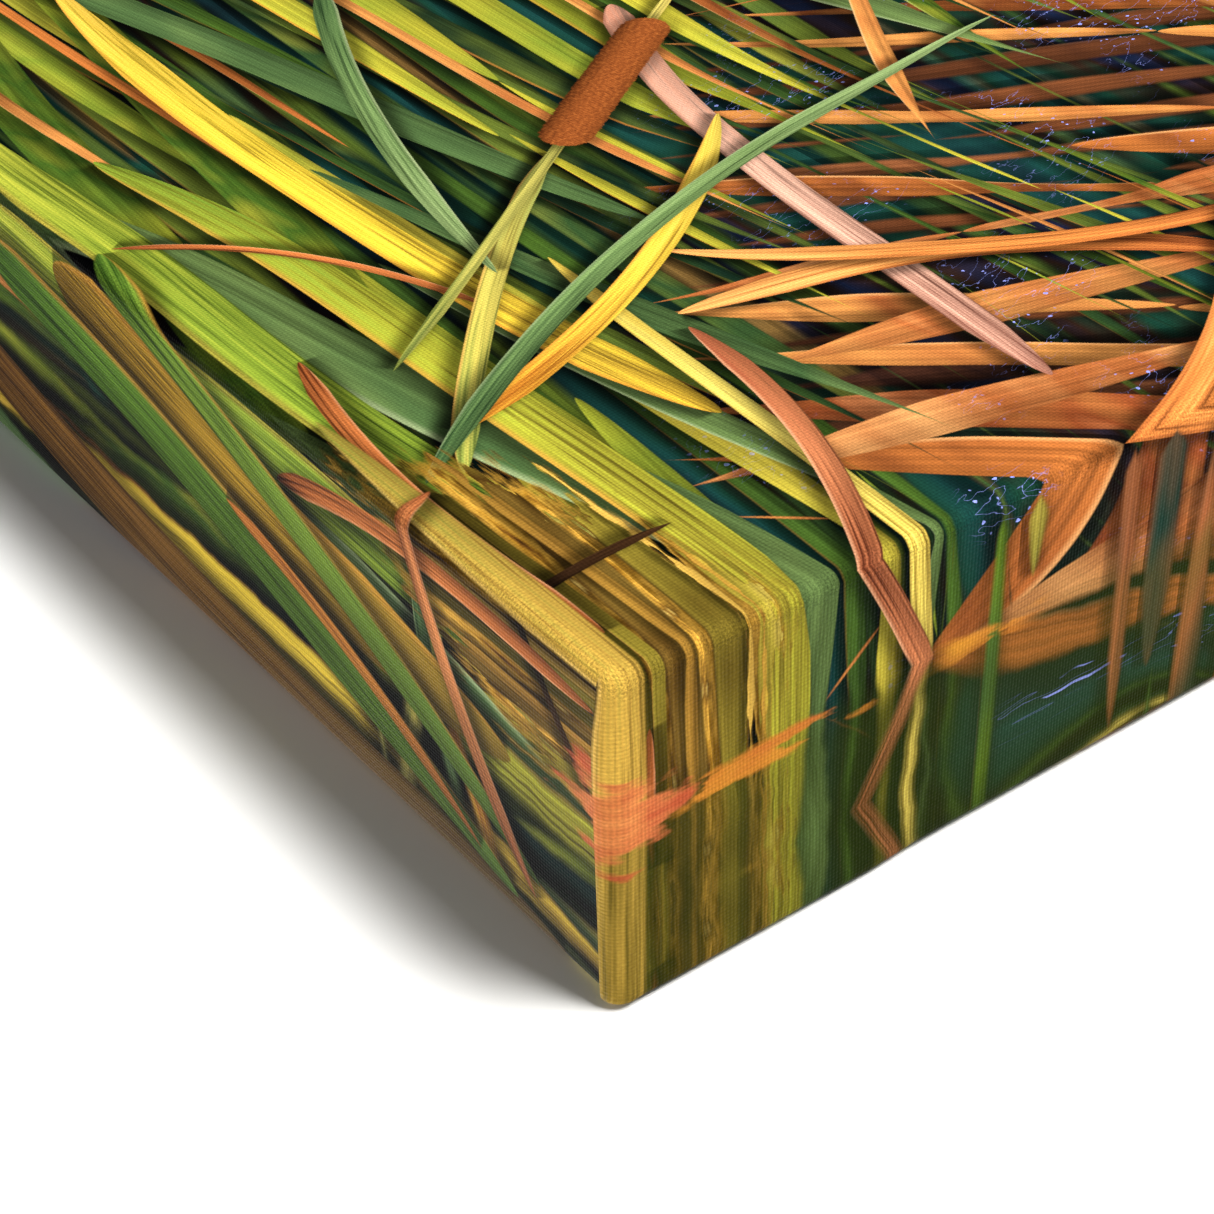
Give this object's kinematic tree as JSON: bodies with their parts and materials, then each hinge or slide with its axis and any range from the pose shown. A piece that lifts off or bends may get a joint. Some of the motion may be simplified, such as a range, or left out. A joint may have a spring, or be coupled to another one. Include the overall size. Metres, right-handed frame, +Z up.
{
  "type": "stretched canvas",
  "caption": "Gallery-wrapped printed canvas on a slotted wooden stretcher frame with wedge keys in its corners and D-ring hangers on its back.",
  "frame": {"origin": "middle of the bottom side face, halfway through the depth, where the canvas stands on an easel's ledge", "axes": "+X along the bottom edge to the right as seen from the front, +Y from the printed face to the back, +Z up the hanging canvas"},
  "size_m": [0.406, 0.0419, 0.305],
  "materials": {
    "print": "matte printed cotton canvas",
    "pine": "planed bare pine",
    "beech": "sawn bare beech",
    "zinc": "bright zinc plate",
    "staple_steel": "galvanised wire"
  },
  "bodies": {
    "frame": {"bar_bottom": "pine", "bar_left": "pine", "bar_right": "pine", "bar_top": "pine", "canvas": "print", "hanger_screw_left": "zinc", "hanger_screw_right": "zinc", "hanger_strap_left": "zinc", "hanger_strap_right": "zinc", "staple_bottom_1": "staple_steel", "staple_bottom_2": "staple_steel", "staple_bottom_3": "staple_steel", "staple_bottom_4": "staple_steel", "staple_bottom_5": "staple_steel", "staple_bottom_6": "staple_steel", "staple_bottom_7": "staple_steel", "staple_corner_bottom_left": "staple_steel", "staple_corner_bottom_right": "staple_steel", "staple_corner_top_left": "staple_steel", "staple_corner_top_right": "staple_steel", "staple_left_1": "staple_steel", "staple_left_2": "staple_steel", "staple_left_3": "staple_steel", "staple_left_4": "staple_steel", "staple_left_5": "staple_steel", "staple_right_1": "staple_steel", "staple_right_2": "staple_steel", "staple_right_3": "staple_steel", "staple_right_4": "staple_steel", "staple_right_5": "staple_steel", "staple_top_1": "staple_steel", "staple_top_2": "staple_steel", "staple_top_3": "staple_steel", "staple_top_4": "staple_steel", "staple_top_5": "staple_steel", "staple_top_6": "staple_steel", "staple_top_7": "staple_steel"},
    "hanger_ring_left": {"hanger_ring_left": "zinc"},
    "hanger_ring_right": {"hanger_ring_right": "zinc"},
    "key_bottom_first": {"key_bottom_first": "beech"},
    "key_bottom_second": {"key_bottom_second": "beech"},
    "key_left_first": {"key_left_first": "beech"},
    "key_left_second": {"key_left_second": "beech"},
    "key_right_first": {"key_right_first": "beech"},
    "key_right_second": {"key_right_second": "beech"},
    "key_top_first": {"key_top_first": "beech"},
    "key_top_second": {"key_top_second": "beech"}
  },
  "joints": [
    {"name": "key_bottom_first_slide", "type": "slide", "parent": "frame", "child": "key_bottom_first", "axis": [1, 0, 0], "range_m": [0, 0.03]},
    {"name": "key_bottom_second_slide", "type": "slide", "parent": "frame", "child": "key_bottom_second", "axis": [-1, 0, 0], "range_m": [0, 0.03]},
    {"name": "key_right_first_slide", "type": "slide", "parent": "frame", "child": "key_right_first", "axis": [0, 0, 1], "range_m": [0, 0.03]},
    {"name": "key_right_second_slide", "type": "slide", "parent": "frame", "child": "key_right_second", "axis": [0, 0, -1], "range_m": [0, 0.03]},
    {"name": "key_top_first_slide", "type": "slide", "parent": "frame", "child": "key_top_first", "axis": [-1, 0, 0], "range_m": [0, 0.03]},
    {"name": "key_top_second_slide", "type": "slide", "parent": "frame", "child": "key_top_second", "axis": [1, 0, 0], "range_m": [0, 0.03]},
    {"name": "key_left_first_slide", "type": "slide", "parent": "frame", "child": "key_left_first", "axis": [0, 0, -1], "range_m": [0, 0.03]},
    {"name": "key_left_second_slide", "type": "slide", "parent": "frame", "child": "key_left_second", "axis": [0, 0, 1], "range_m": [0, 0.03]},
    {"name": "hanger_ring_left_hinge", "type": "hinge", "parent": "frame", "child": "hanger_ring_left", "pos_m": [-0.1715, 0.0207, 0.228], "axis": [-1, 0, 0], "range_deg": [0, 160]},
    {"name": "hanger_ring_right_hinge", "type": "hinge", "parent": "frame", "child": "hanger_ring_right", "pos_m": [0.1715, 0.0207, 0.228], "axis": [-1, 0, 0], "range_deg": [0, 160]}
  ]
}
